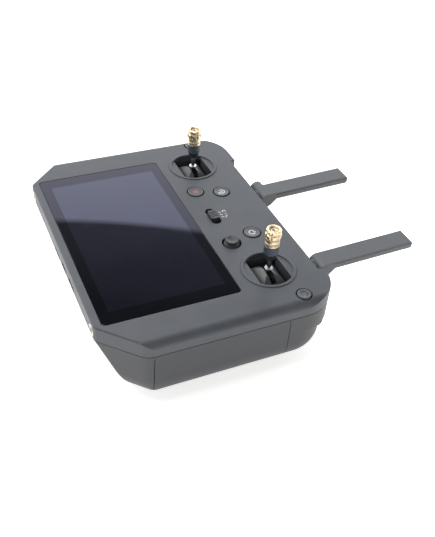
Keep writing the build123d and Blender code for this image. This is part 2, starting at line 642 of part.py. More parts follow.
with BuildPart() as battery_cells:
    for side in SIDES.values():
        with BuildSketch(Plane((*deck(side * CELL_X, CELL_Y - CELL_LEN / 2), CELL_Z), z_dir=(0, 1, 0))):
            Circle(CELL_R)
    extrude(amount=CELL_LEN)
    chamfer(battery_cells.edges().filter_by(GeomType.CIRCLE), length=0.8)
save(battery_cells, "battery_cells")

with BuildPart() as button_board:
    with BuildSketch(Plane.XY.offset(BUTTON_BOARD_TOP - BUTTON_BOARD_T)):
        with Locations(deck(0, 38.5)):
            Rectangle(78.0, 31.0)
    extrude(amount=BUTTON_BOARD_T)
    with BuildSketch(Plane.XY.offset(CORNER_BOARD_TOP - BUTTON_BOARD_T)):
        with Locations(deck(-83.0, 48.3), deck(83.0, 48.3)):
            Rectangle(9.0, 9.0)
    extrude(amount=BUTTON_BOARD_T)
    for spot, direction, _, skin in BUTTONS.values():
        if direction == (0, 0, 1):
            with BuildSketch(Plane.XY.offset(DECK_Z - skin - STACK - SWITCH_T)):
                with Locations(spot[:2]):
                    Circle(2.4)
            extrude(amount=SWITCH_T)
save(button_board, "button_board")

REAR_SWITCH_Z = SLAB_Z + WALL + STACK
with BuildPart() as rear_switches:
    with BuildSketch(Plane.XY.offset(REAR_SWITCH_Z)):
        for side in SIDES.values():
            with Locations(deck(side * REAR_BUTTON_X, REAR_BUTTON_Y)):
                Rectangle(8.0, 18.0)
    extrude(amount=1.2)
save(rear_switches, "rear_switches")

with BuildPart() as speaker:
    with BuildSketch(Plane.XY.offset(SLAB_Z + WALL + GAP)):
        with Locations(deck(0, SPEAKER_Y)):
            RectangleRounded(26, 14, 3)
    extrude(amount=4.2)
save(speaker, "speaker")

# ---------------------------------------------------------------- ports and inserts
for port_name, (x, width, height) in PORTS.items():
    port_plane = Plane(
        (*deck(x, USER_EDGE + 0.5), BOARD_TOP + 0.05 + height / 2), x_dir=(1, 0, 0), z_dir=(0, 1, 0)
    )
    with BuildPart() as port:
        with BuildSketch(port_plane):
            RectangleRounded(width, height, height / 2.3)
        extrude(amount=PORT_DEPTH)
        with BuildSketch(port_plane):
            RectangleRounded(width - 0.6, height - 0.6, (height - 0.6) / 2.3)
        extrude(amount=PORT_DEPTH - 0.6, mode=Mode.SUBTRACT)
        with BuildSketch(port_plane.offset(1.2)):
            Rectangle(width * 0.7, height * 0.22)
        extrude(amount=PORT_DEPTH - 1.2)
    save(port, port_name)

with BuildPart() as threaded_inserts:
    for side in SIDES.values():
        insert_plane = Plane((*deck(side * INSERT_X, USER_EDGE + 0.2), INSERT_Z), z_dir=(0, 1, 0))
        with BuildSketch(insert_plane):
            Circle(INSERT_R)
            Circle(INSERT_BORE_R, mode=Mode.SUBTRACT)
        extrude(amount=INSERT_LEN)
save(threaded_inserts, "threaded_inserts")

# ---------------------------------------------------------------- push buttons
for button_name, (spot, direction, cap_r, skin) in BUTTONS.items():
    button = push_button(Plane(spot, z_dir=direction), cap_r, skin)
    save(button, button_name)

# ---------------------------------------------------------------- five-way control
PLUNGER_LOW = BUTTON_BOARD_TOP + FIVE_PRESS + SWITCH_GAP
five_x, five_y = deck(FIVE_X, FIVE_Y)
with BuildPart(Plane((five_x, five_y, PLUNGER_LOW))) as five_way_plunger:
    Cylinder(FIVE_EAR_END, FIVE_PLUNGER_T, align=LOW)
    with GridLocations(0, FIVE_EAR_START + FIVE_EAR_END, 1, 2):
        Box(2.0, FIVE_EAR_END - FIVE_EAR_START, FIVE_PIVOT_Z + 0.8 - PLUNGER_LOW, align=LOW)
    with Locations((0, 0, FIVE_PIVOT_Z - PLUNGER_LOW)):
        Cylinder(FIVE_PIN_R + FIT, 2 * FIVE_CAP_R + 2, rotation=(90, 0, 0), mode=Mode.SUBTRACT)
save(five_way_plunger, "five_way_plunger")

# gimbal ring: its own pins lie along Y in the plunger's ears, and the nub's along X in its bores
with BuildPart(Plane((five_x, five_y, FIVE_PIVOT_Z))) as five_way_rocker:
    Cylinder(FIVE_RING_R, FIVE_RING_T)
    Cylinder(FIVE_PIN_R, 2 * FIVE_EAR_END - 0.2, rotation=(90, 0, 0))
    Cylinder(FIVE_STEM_R + 0.3, FIVE_RING_T, mode=Mode.SUBTRACT)
    Cylinder(FIVE_PIN_R + FIT, 2 * FIVE_RING_R + 1, rotation=(0, 90, 0), mode=Mode.SUBTRACT)
save(five_way_rocker, "five_way_rocker")

# thumb knob: waisted under a flared, dished head
with BuildPart() as five_way_nub:
    with BuildSketch(Plane((five_x, five_y, 0), x_dir=(1, 0, 0), z_dir=(0, -1, 0))):
        with BuildLine():
            Polyline(
                (0, FIVE_PIVOT_Z - FIVE_RING_T / 2),
                (FIVE_STEM_R, FIVE_PIVOT_Z - FIVE_RING_T / 2),
                (FIVE_STEM_R, FIVE_CAP_LOW),
                (FIVE_CAP_R, FIVE_CAP_LOW),
                (FIVE_CAP_R, FIVE_CAP_LOW + 0.8),
                (FIVE_CAP_R - 1.2, FIVE_CAP_TOP - 1.5),
                (FIVE_CAP_R - 0.7, FIVE_CAP_TOP - 0.6),
                (FIVE_CAP_R - 1.0, FIVE_CAP_TOP),
                (0, FIVE_CAP_TOP),
                close=True,
            )
        make_face()
    revolve(axis=Axis((five_x, five_y, 0), (0, 0, 1)))
    with Locations((five_x, five_y, FIVE_CAP_TOP + FIVE_DISH_R - 0.5)):
        Sphere(FIVE_DISH_R, mode=Mode.SUBTRACT)
    with Locations((five_x, five_y, FIVE_PIVOT_Z)):
        Cylinder(FIVE_PIN_R, 2 * FIVE_RING_R - 0.4, rotation=(0, 90, 0))
save(five_way_nub, "five_way_nub")

# ---------------------------------------------------------------- mode slider
with BuildPart(Plane((*deck(0, SLIDER_Y), 0))) as mode_slider:
    with Locations((0, 0, DECK_Z - DECK_T - FLANGE_GAP - FLANGE_T)):
        Box(KNOB_LEN + 4.4, SLIDER_WID + 2.2, FLANGE_T, align=LOW)
    with Locations((0, 0, DECK_Z - DECK_T - FLANGE_GAP)):
        Box(KNOB_LEN, KNOB_WID, KNOB_TOP - DECK_Z + DECK_T + FLANGE_GAP, align=LOW)
    fillet(mode_slider.edges().filter_by(Axis.Z).group_by(SortBy.LENGTH)[-1], radius=1.6)
    with Locations((0, 0, KNOB_TOP - 0.6)):
        with GridLocations(1.5, 0, KNOB_RIBS, 1):
            Box(0.6, KNOB_WID, 0.6, align=LOW, mode=Mode.SUBTRACT)
save(mode_slider, "mode_slider")

# ---------------------------------------------------------------- dials and their brackets
for side_name, side in SIDES.items():
    dial_x, dial_y = deck(side * DIAL_X, DIAL_Y)
    with BuildPart() as dial:
        with BuildSketch(Plane.XY.offset(DIAL_LOW)):
            with Locations((dial_x, dial_y)):
                Circle(DIAL_R)
                with PolarLocations(DIAL_R + 0.2, DIAL_TEETH):
                    Circle(0.55, mode=Mode.SUBTRACT)
                Circle(AXLE_R + FIT, mode=Mode.SUBTRACT)
        extrude(amount=DIAL_T)
    save(dial, f"dial_{side_name}")

    far_switch_y = DECK_Y + FAR_WALL_Y - FAR_BUTTON_SKIN - STACK
    arm_far = dial_y + 2.1
    arm_near = dial_y - DIAL_R - 2.0
    with BuildPart() as dial_bracket:
        for arm_z in (DIAL_LOW - 2.0, DIAL_LOW + DIAL_T + 0.5):
            with BuildSketch(Plane.XY.offset(arm_z)):
                with Locations((dial_x, (arm_far + arm_near) / 2)):
                    Rectangle(5.6, arm_far - arm_near)
            extrude(amount=1.5)
        with BuildSketch(Plane.XY.offset(DIAL_LOW - 2.0)):
            with Locations((dial_x, arm_near + 0.7)):
                Rectangle(5.6, 1.4)
        extrude(amount=DIAL_T + 4.0)
        with BuildSketch(Plane.XY.offset(DIAL_LOW - 2.0)):
            with Locations((dial_x, dial_y)):
                Circle(AXLE_R)
        extrude(amount=DIAL_T + 4.0)
        with BuildSketch(Plane.XY.offset(DIAL_LOW + DIAL_T + 0.5)):
            with Locations((side * (FAR_BUTTON_X - 0.5), far_switch_y - 0.8)):
                Rectangle(5.6, 1.6)
        extrude(amount=FAR_BUTTON_Z + 4.0 - DIAL_LOW - DIAL_T - 0.5)
    save(dial_bracket, f"dial_bracket_{side_name}")

# ---------------------------------------------------------------- stick units
for side_name, side in SIDES.items():
    cx, cy = deck(side * GIMBAL_X, GIMBAL_Y)

    # ring that frames the well, with a flat segment on the near and far side and a skirt under each
    with BuildPart() as gimbal_ring:
        with BuildSketch(Plane.XY.offset(BASE_TOP + GAP)):
            with Locations((cx, cy)):
                Circle(RING_R)
                Circle(WELL_R, mode=Mode.SUBTRACT)
        extrude(amount=RING_TOP - BASE_TOP - GAP)
        fillet(gimbal_ring.faces().sort_by(Axis.Z)[-1].edges(), radius=0.45)
        with BuildSketch(Plane.XY.offset(SEGMENT_TOP - SEGMENT_T)):
            with Locations((cx, cy)):
                Circle(WELL_R + 0.4)
                Rectangle(4 * RING_R, 2 * BRIDGE_Y, mode=Mode.SUBTRACT)
        extrude(amount=SEGMENT_T)
        with BuildSketch(Plane.XY.offset(SKIRT_LOW)):
            with Locations((cx, cy)):
                Circle(WELL_R - 1.0)
                Rectangle(4 * RING_R, 2 * BRIDGE_Y, mode=Mode.SUBTRACT)
                for band in (-1, 1):
                    with Locations((0, band * (BRIDGE_Y + SKIRT_T + RING_R))):
                        Rectangle(4 * RING_R, 2 * RING_R, mode=Mode.SUBTRACT)
        extrude(amount=SEGMENT_TOP - SKIRT_LOW)
    save(gimbal_ring, f"gimbal_ring_{side_name}")

    # open-topped box that carries the yoke's trunnions
    with BuildPart(Plane((cx, cy, BASE_LOW))) as gimbal_base:
        Box(2 * BASE_HALF, 2 * BASE_HALF, BASE_TOP - BASE_LOW, align=LOW)
        with Locations((0, 0, BASE_FLOOR)):
            Box(2 * BASE_INNER_X, 2 * BASE_INNER_Y, BASE_TOP, align=LOW, mode=Mode.SUBTRACT)
        with Locations((0, 0, PIVOT_Z - BASE_LOW)):
            Cylinder(TRUNNION_R + FIT, 4 * BASE_HALF, rotation=(0, 90, 0), mode=Mode.SUBTRACT)
    save(gimbal_base, f"gimbal_base_{side_name}")

    # domed yoke: turns about X on its trunnions, slotted along X for the stick, with two cheeks inside
    with BuildPart() as gimbal_yoke:
        add(yoke_dome(cx, cy, 0.0, YOKE_RIM_LOW, YOKE_TURN_R))
        add(yoke_dome(cx, cy, YOKE_WALL, YOKE_RIM_LOW - 1, YOKE_TURN_R), mode=Mode.SUBTRACT)
        add(yoke_dome(cx, cy, 0.0, CHEEK_LOW, CHEEK_OUT))
        with BuildSketch(Plane((cx, cy, CHEEK_LOW))):
            Rectangle(2 * (YOKE_HALF_X - YOKE_WALL), 2 * CHEEK_IN)
        extrude(amount=PIVOT_Z + 4 - CHEEK_LOW, mode=Mode.SUBTRACT)
        add(yoke_dome(cx, cy, YOKE_WALL, CHEEK_LOW - 1, CHEEK_IN), mode=Mode.SUBTRACT)
        with BuildSketch(Plane((cx, cy, CHEEK_LOW))):
            Rectangle(2 * YOKE_SLOT_X, 2 * YOKE_SLOT_Y)
        extrude(amount=YOKE_TOP - CHEEK_LOW + 1, mode=Mode.SUBTRACT)
        with BuildSketch(Plane((cx, cy, PIVOT_Z), z_dir=(0, 1, 0))):
            Circle(CROSS_R + FIT)
        extrude(amount=2 * CHEEK_OUT, both=True, mode=Mode.SUBTRACT)
        for end in (-1, 1):
            with BuildSketch(Plane((cx + end * (YOKE_HALF_X - YOKE_WALL), cy, PIVOT_Z), z_dir=(end, 0, 0))):
                Circle(TRUNNION_R)
            extrude(amount=TRUNNION_END - YOKE_HALF_X + YOKE_WALL)
    save(gimbal_yoke, f"gimbal_yoke_{side_name}")

    # steel stick: cross pins in the yoke, a hub between its cheeks and a cup over the slot
    with BuildPart(Plane((cx, cy, PIVOT_Z))) as stick_shaft:
        Cylinder(STICK_HUB_R, 2 * STICK_HUB_HALF, rotation=(90, 0, 0))
        Cylinder(CROSS_R, 2 * CHEEK_OUT, rotation=(90, 0, 0))
        Cylinder(STICK_R, STUD_TOP - PIVOT_Z, align=LOW)
        with Locations((0, 0, CUP_LOW - PIVOT_Z)):
            Cone(CUP_R * 0.75, CUP_R, CUP_TOP - CUP_LOW, align=LOW)
    save(stick_shaft, f"stick_shaft_{side_name}")

    # lock sleeve under the grip, and the grip with its scalloped crown
    with BuildPart() as stick_sleeve:
        with BuildSketch(Plane((cx, cy, 0), x_dir=(1, 0, 0), z_dir=(0, -1, 0))):
            with BuildLine():
                Polyline(
                    (STICK_R + FIT, SLEEVE_LOW),
                    (SLEEVE_LOW_R, SLEEVE_LOW),
                    (SLEEVE_R - 0.5, SLEEVE_NECK - 0.5),
                    (SLEEVE_R, SLEEVE_NECK),
                    (SLEEVE_R, SLEEVE_TOP),
                    (STICK_R + FIT, SLEEVE_TOP),
                    close=True,
                )
            make_face()
        revolve(axis=Axis((cx, cy, 0), (0, 0, 1)))
    save(stick_sleeve, f"stick_sleeve_{side_name}")

    with BuildPart() as stick_grip:
        with BuildSketch(Plane((cx, cy, 0), x_dir=(1, 0, 0), z_dir=(0, -1, 0))):
            with BuildLine():
                Polyline(
                    (STICK_R + FIT, SLEEVE_TOP + FIT),
                    (GRIP_R, SLEEVE_TOP + FIT),
                    (GRIP_R, LOBE_Z[0]),
                    (LOBE_R, LOBE_Z[0] + 0.5),
                    (LOBE_R, LOBE_Z[1] - 0.5),
                    (LOBE_R - 0.5, LOBE_Z[1]),
                    (NECK_R, LOBE_Z[1]),
                    (NECK_R, NECK_TOP),
                    (PETAL_R - 0.3, NECK_TOP),
                    (PETAL_R, NECK_TOP + 0.3),
                    (PETAL_R, STICK_TOP - 0.4),
                    (PETAL_R - 0.3, STICK_TOP),
                    (CROWN_BORE_R + 0.3, STICK_TOP),
                    (CROWN_BORE_R, STICK_TOP - 0.3),
                    (CROWN_BORE_R, CROWN_FLOOR),
                    (BOSS_R, CROWN_FLOOR),
                    (BOSS_R, BOSS_TOP),
                    (0, BOSS_TOP),
                    (0, STUD_TOP + FIT),
                    (STICK_R + FIT, STUD_TOP + FIT),
                    close=True,
                )
            make_face()
        revolve(axis=Axis((cx, cy, 0), (0, 0, 1)))
        with BuildSketch(Plane((cx, cy, LOBE_Z[0] - 0.2))):
            with PolarLocations(SCALLOP_AT, SCALLOPS):
                Circle(SCALLOP_R)
        extrude(amount=STICK_TOP - LOBE_Z[0] + 1, mode=Mode.SUBTRACT)
    save(stick_grip, f"stick_grip_{side_name}")

# ---------------------------------------------------------------- antennas
for side_name, ax in ANTENNA_X.items():
    px, py = deck(ax, ANTENNA_PIVOT_Y)
    wall_y = DECK_Y + FAR_EDGE

    # swivel: shaft in the far wall, collar outside it, and a round-nosed tongue for the hinge pin
    with BuildPart() as antenna_swivel:
        with BuildSketch(Plane((px, wall_y - 6.5, ANTENNA_Z), z_dir=(0, 1, 0))):
            Circle(SWIVEL_R)
        extrude(amount=6.5 + FORK_GAP)
        with BuildSketch(Plane((px, wall_y + 0.15, ANTENNA_Z), z_dir=(0, 1, 0))):
            Circle(COLLAR_R)
        extrude(amount=COLLAR_T)
        with BuildSketch(Plane((px, wall_y - RETAINER_LOW, ANTENNA_Z), z_dir=(0, 1, 0))):
            Circle(RETAINER_R)
        extrude(amount=RETAINER_T)
        with BuildSketch(Plane((px - TONGUE_HALF, 0, 0), x_dir=(0, 1, 0), z_dir=(1, 0, 0))):
            with Locations((py, ANTENNA_Z)):
                Circle(TONGUE_R)
            with Locations(((wall_y + 0.5 + py) / 2, ANTENNA_Z)):
                Rectangle(py - wall_y - 0.5, 1.6 * TONGUE_R)
            with Locations((py, ANTENNA_Z)):
                Circle(HINGE_PIN_R, mode=Mode.SUBTRACT)
        extrude(amount=2 * TONGUE_HALF)
    save(antenna_swivel, f"antenna_swivel_{side_name}")

    with BuildPart() as antenna_pin:
        pin_half = ANTENNA_W / 2 - 0.6
        with BuildSketch(Plane((px - pin_half, py, ANTENNA_Z), z_dir=(1, 0, 0))):
            Circle(HINGE_PIN_R)
        extrude(amount=2 * pin_half)
    save(antenna_pin, f"antenna_pin_{side_name}")

    # blade: a barrel root round the pin, forked for the tongue, running out to a flat tip
    with BuildPart() as antenna_blade:
        half = ANTENNA_W / 2
        tip_y = DECK_Y + ANTENNA_TIP_Y
        with BuildSketch(Plane((px - half, 0, 0), x_dir=(0, 1, 0), z_dir=(1, 0, 0))):
            with Locations((py, ANTENNA_Z)):
                Circle(BARREL_R)
            with BuildLine():
                Polyline(
                    (py, ANTENNA_Z + BARREL_R),
                    (tip_y - 0.8, ANTENNA_TIP_TOP),
                    (tip_y, ANTENNA_TIP_TOP - 0.8),
                    (tip_y, ANTENNA_TIP_TOP - ANTENNA_TIP_T + 0.8),
                    (tip_y - 0.8, ANTENNA_TIP_TOP - ANTENNA_TIP_T),
                    (py + 7.0, ANTENNA_Z + 0.35),
                    (py + 3.6, ANTENNA_Z - 3.0),
                    (py, ANTENNA_Z - 3.0),
                    close=True,
                )
            make_face()
        extrude(amount=ANTENNA_W)
        # shadow line along both sides, just under the top
        rise = (ANTENNA_TIP_TOP - ANTENNA_Z - BARREL_R) / (tip_y - 0.8 - py)
        near, far = BLADE_LINE_START, tip_y - py + 1
        for edge in (-1, 1):
            line_origin = (px + edge * (half - BLADE_LINE), py, ANTENNA_Z + BARREL_R - BLADE_LINE_DOWN)
            with BuildSketch(Plane(line_origin, x_dir=(0, 1, 0), z_dir=(1, 0, 0))):
                with BuildLine():
                    Polyline(
                        (near, near * rise),
                        (far, far * rise),
                        (far, far * rise - BLADE_LINE),
                        (near, near * rise - BLADE_LINE),
                        close=True,
                    )
                make_face()
            extrude(amount=edge * 2 * BLADE_LINE, mode=Mode.SUBTRACT)
        if side_name == "left":
            with BuildSketch(Plane((px - half - 5.4, 0, 0), x_dir=(0, 1, 0), z_dir=(1, 0, 0))):
                with Locations((py, ANTENNA_Z)):
                    Circle(BARREL_R - 0.15)
            extrude(amount=6.0)
        # slot for the tongue: open towards the casing and below, closed on top
        slot_half = TONGUE_HALF + FORK_GAP
        with BuildSketch(Plane((px - slot_half, 0, 0), x_dir=(0, 1, 0), z_dir=(1, 0, 0))):
            with Locations((py, ANTENNA_Z)):
                Circle(TONGUE_R + FORK_GAP)
            with Locations((py - BARREL_R / 2, ANTENNA_Z - 0.5)):
                Rectangle(BARREL_R, 2 * TONGUE_R)
            with Locations((py - 0.2, ANTENNA_Z - BARREL_R / 2)):
                Rectangle(2 * TONGUE_R, BARREL_R + 1)
        extrude(amount=2 * slot_half, mode=Mode.SUBTRACT)
        with BuildSketch(Plane((px - pin_half - 0.1, py, ANTENNA_Z), z_dir=(1, 0, 0))):
            Circle(HINGE_PIN_R + FIT)
        extrude(amount=2 * pin_half + 0.2, mode=Mode.SUBTRACT)
    save(antenna_blade, f"antenna_blade_{side_name}")
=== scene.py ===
from math import cos, pi, radians, sin, sqrt

import bmesh
import bpy
from mathutils import Matrix, Vector


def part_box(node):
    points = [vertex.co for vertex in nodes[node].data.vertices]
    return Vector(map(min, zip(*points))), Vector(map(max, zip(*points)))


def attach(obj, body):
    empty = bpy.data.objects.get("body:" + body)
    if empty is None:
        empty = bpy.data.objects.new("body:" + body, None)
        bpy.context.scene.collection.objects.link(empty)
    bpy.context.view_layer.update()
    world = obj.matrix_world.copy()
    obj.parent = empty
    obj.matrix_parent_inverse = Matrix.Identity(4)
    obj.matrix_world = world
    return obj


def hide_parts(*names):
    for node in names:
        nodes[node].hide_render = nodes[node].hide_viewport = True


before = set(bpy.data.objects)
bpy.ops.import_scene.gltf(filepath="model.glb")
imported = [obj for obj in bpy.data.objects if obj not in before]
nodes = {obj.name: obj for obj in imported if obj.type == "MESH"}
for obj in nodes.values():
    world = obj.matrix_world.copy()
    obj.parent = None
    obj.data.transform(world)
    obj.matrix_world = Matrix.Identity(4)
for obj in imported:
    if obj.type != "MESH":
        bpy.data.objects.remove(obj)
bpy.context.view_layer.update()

# The look of a hand-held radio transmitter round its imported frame. Lengths are in metres, as in the
# frame: MM turns a value in millimetres into one.
MM = 0.001


# ------------------------------------------------------------ camera
CAMERA_AZIMUTH, CAMERA_ELEVATION, CAMERA_ROLL = 63.02, 40.02, 4.90  # degrees
CAMERA_DISTANCE = 0.45843  # from the point that it looks at
CAMERA_TARGET = (0.01831, -0.00675, 0.020)
CAMERA_LENS = 48.43  # millimetres, on a 36 mm sensor


def look(azimuth, elevation, roll, distance, target, lens):
    """Places the camera at an angle round a point on the object."""
    a, e, r = radians(azimuth), radians(elevation), radians(roll)
    back = Vector((sin(a) * cos(e), -cos(a) * cos(e), sin(e)))
    right = Vector((cos(a), sin(a), 0))
    up = back.cross(right)
    x_axis = right * cos(r) + up * sin(r)
    y_axis = up * cos(r) - right * sin(r)
    data = bpy.data.cameras.new("photo_camera")
    data.lens = lens
    data.sensor_width = 36.0
    camera = bpy.data.objects.new("photo_camera", data)
    bpy.context.scene.collection.objects.link(camera)
    place = Vector(target) + back * distance
    turn = Matrix((x_axis, y_axis, back)).transposed().to_4x4()
    camera.matrix_world = Matrix.Translation(place) @ turn
    data.clip_start = 0.01
    data.clip_end = 20.0
    bpy.context.scene.camera = camera


look(CAMERA_AZIMUTH, CAMERA_ELEVATION, CAMERA_ROLL, CAMERA_DISTANCE, CAMERA_TARGET, CAMERA_LENS)


# ------------------------------------------------------------ material helpers
def value_ramp(tree, source, low, high, low_out, high_out):
    """Maps a value's range onto another, and holds it at the ends."""
    node = tree.nodes.new("ShaderNodeMapRange")
    node.inputs["From Min"].default_value = low
    node.inputs["From Max"].default_value = high
    node.inputs["To Min"].default_value = low_out
    node.inputs["To Max"].default_value = high_out
    tree.links.new(source, node.inputs["Value"])
    return node.outputs["Result"]


MIX_A, MIX_B, MIX_OUT = 6, 7, 2  # a colour mix node's colour sockets, by place


def colour_mix(tree, factor, first, second):
    """Goes from the first colour to the second; either may be a plain colour or a socket."""
    node = tree.nodes.new("ShaderNodeMix")
    node.data_type = "RGBA"
    tree.links.new(factor, node.inputs["Factor"])
    for socket, colour in ((node.inputs[MIX_A], first), (node.inputs[MIX_B], second)):
        if isinstance(colour, tuple):
            socket.default_value = (*colour, 1)
        else:
            tree.links.new(colour, socket)
    return node.outputs[MIX_OUT]


def noise(tree, coords, scale, detail=3.0, rough=0.55):
    node = tree.nodes.new("ShaderNodeTexNoise")
    node.inputs["Scale"].default_value = scale
    node.inputs["Detail"].default_value = detail
    node.inputs["Roughness"].default_value = rough
    tree.links.new(coords, node.inputs["Vector"])
    return node.outputs["Fac"]


def voronoi(tree, coords, scale):
    node = tree.nodes.new("ShaderNodeTexVoronoi")
    node.feature = "SMOOTH_F1"
    node.inputs["Scale"].default_value = scale
    node.inputs["Smoothness"].default_value = 0.5
    tree.links.new(coords, node.inputs["Vector"])
    return node.outputs["Distance"]


def bump(tree, height, strength, distance, under=None):
    """Relief from a height, on top of another normal if one is given."""
    node = tree.nodes.new("ShaderNodeBump")
    node.inputs["Strength"].default_value = strength
    node.inputs["Distance"].default_value = distance
    tree.links.new(height, node.inputs["Height"])
    if under is not None:
        tree.links.new(under, node.inputs["Normal"])
    return node.outputs["Normal"]


def soft_edge(tree, radius):
    """Rounds off sharp edges in the shading."""
    node = tree.nodes.new("ShaderNodeBevel")
    node.samples = 4
    node.inputs["Radius"].default_value = radius
    return node.outputs["Normal"]


def new_material(name):
    """A node material, with its tree, its shader and object coordinates."""
    material = bpy.data.materials.new(name)
    material.use_nodes = True
    tree = material.node_tree
    shader = tree.nodes["Principled BSDF"]
    coords = tree.nodes.new("ShaderNodeTexCoord").outputs["Object"]
    return material, tree, shader, coords


GRAIN_HEIGHT = 0.12 * MM
MOTTLE_SCALE = 55.0


def moulded(
    name, colour, roughness, grain=2600.0, grain_depth=0.35, cells=0.0, edge=0.35, tint=0.10, specular=0.5
):
    """Injection-moulded plastic: fine spark-eroded grain, faint flow mottling, soft edges."""
    material, tree, shader, coords = new_material(name)
    mottle = noise(tree, coords, MOTTLE_SCALE, 4.0)
    fine = noise(tree, coords, grain, 2.0, 0.7)
    dark = tuple(c * (1 - tint) for c in colour)
    light = tuple(min(1.0, c * (1 + tint)) for c in colour)
    base = colour_mix(tree, value_ramp(tree, mottle, 0.35, 0.65, 0.0, 1.0), dark, light)
    speck = value_ramp(tree, fine, 0.35, 0.7, 0.0, 0.35)
    base = colour_mix(tree, speck, base, tuple(c * 0.72 for c in colour))
    tree.links.new(base, shader.inputs["Base Color"])
    rough = value_ramp(tree, mottle, 0.3, 0.7, roughness - 0.04, roughness + 0.04)
    tree.links.new(rough, shader.inputs["Roughness"])
    shader.inputs["Specular IOR Level"].default_value = specular
    height = fine if not cells else voronoi(tree, coords, cells)
    under = soft_edge(tree, edge * MM) if edge else None
    tree.links.new(bump(tree, height, grain_depth, GRAIN_HEIGHT, under), shader.inputs["Normal"])
    return material


TOOL_MARK_SCALE, TOOL_MARK_HEIGHT = 5400.0, 0.04 * MM
WEAR_SCALE = 420.0
METAL_EDGE = 0.15 * MM


def metal(name, colour, roughness, wear=(0.9, 0.9, 0.9), metallic=1.0):
    """Turned and anodised metal: circular tool marks and slightly brighter worn patches."""
    material, tree, shader, coords = new_material(name)
    stretch = tree.nodes.new("ShaderNodeMapping")
    stretch.inputs["Scale"].default_value = (0.12, 0.12, 1.0)
    tree.links.new(coords, stretch.inputs["Vector"])
    lines = noise(tree, stretch.outputs["Vector"], TOOL_MARK_SCALE, 2.0, 0.6)
    patches = noise(tree, coords, WEAR_SCALE, 4.0)
    worn = value_ramp(tree, patches, 0.52, 0.78, 0.0, 0.5)
    half_worn = tuple(0.5 * (a + b) for a, b in zip(colour, wear))
    base = colour_mix(tree, worn, colour, half_worn)
    tree.links.new(base, shader.inputs["Base Color"])
    rough = value_ramp(tree, lines, 0.3, 0.7, roughness - 0.05, roughness + 0.08)
    tree.links.new(rough, shader.inputs["Roughness"])
    shader.inputs["Metallic"].default_value = metallic
    normal = bump(tree, lines, 0.12, TOOL_MARK_HEIGHT, soft_edge(tree, METAL_EDGE))
    tree.links.new(normal, shader.inputs["Normal"])
    return material


# ------------------------------------------------------------ materials
mat_deck = moulded("deck_plastic_m", (0.060, 0.065, 0.076), 0.47)
mat_shell = moulded("shell_plastic_m", (0.042, 0.044, 0.048), 0.48, grain=2300.0, grain_depth=0.45)
mat_panel = moulded("panel_plastic_m", (0.043, 0.045, 0.051), 0.50, grain_depth=0.75, cells=1500.0)
mat_antenna = moulded("antenna_plastic_m", (0.080, 0.085, 0.093), 0.46, grain_depth=0.3)
mat_button = moulded("button_plastic_m", (0.085, 0.090, 0.098), 0.34, grain_depth=0.2, edge=0.3)
mat_knob = moulded("knob_plastic_m", (0.066, 0.062, 0.065), 0.40, grain_depth=0.25, edge=0.2)
mat_black = moulded("inner_plastic_m", (0.012, 0.012, 0.013), 0.40, grain_depth=0.2)
mat_well = moulded("well_plastic_m", (0.060, 0.061, 0.066), 0.34, grain_depth=0.2)
mat_nub = moulded("nub_rubber_m", (0.028, 0.029, 0.032), 0.38, grain_depth=0.35, edge=0.3)
mat_yoke = moulded("yoke_plastic_m", (0.055, 0.056, 0.059), 0.36, grain_depth=0.08, edge=0.3, specular=0.6)
mat_board = moulded("board_m", (0.008, 0.05, 0.028), 0.3, grain_depth=0.15)
mat_sleeve = moulded("cell_sleeve_m", (0.02, 0.06, 0.2), 0.25, grain_depth=0.05)
mat_gold = metal("gold_metal_m", (0.86, 0.66, 0.36), 0.22, wear=(1.0, 0.9, 0.7))
mat_blue = metal("blue_metal_m", (0.115, 0.132, 0.16), 0.36, wear=(0.35, 0.4, 0.48), metallic=0.85)
mat_steel = metal("steel_m", (0.72, 0.72, 0.72), 0.18, wear=(0.9, 0.9, 0.9))
mat_alu = metal("aluminium_m", (0.78, 0.78, 0.79), 0.35)
mat_insert = metal("insert_m", (0.80, 0.76, 0.68), 0.28)
mat_white = moulded("icon_white_m", (0.62, 0.63, 0.65), 0.45, grain_depth=0.1, edge=0.0, tint=0.05)
mat_red = moulded("icon_red_m", (0.26, 0.115, 0.105), 0.45, grain_depth=0.1, edge=0.0, tint=0.08)
mat_mark_red = moulded("mark_red_m", (0.50, 0.30, 0.31), 0.45, grain_depth=0.1, edge=0.0, tint=0.08)


def glass_material(name, ink, ink_light, specular, tint):
    """Cover glass over a display that is off: dark behind, faint smudges and a cool coating."""
    material, tree, shader, coords = new_material(name)
    haze = noise(tree, coords, 30.0, 3.0)
    base = colour_mix(tree, value_ramp(tree, haze, 0.3, 0.7, 0.0, 1.0), ink, ink_light)
    tree.links.new(base, shader.inputs["Base Color"])
    smudge = noise(tree, coords, 85.0, 5.0, 0.6)
    tree.links.new(value_ramp(tree, smudge, 0.45, 0.8, 0.012, 0.05), shader.inputs["Roughness"])
    shader.inputs["Specular IOR Level"].default_value = specular
    shader.inputs["Specular Tint"].default_value = (*tint, 1)
    return material


mat_border = glass_material(
    "border_glass_m", (0.003, 0.0032, 0.004), (0.005, 0.0052, 0.007), 0.385, (0.65, 0.60, 1.0)
)
mat_display = glass_material(
    "display_glass_m", (0.005, 0.0052, 0.008), (0.008, 0.0081, 0.012), 0.70, (0.58, 0.60, 1.0)
)

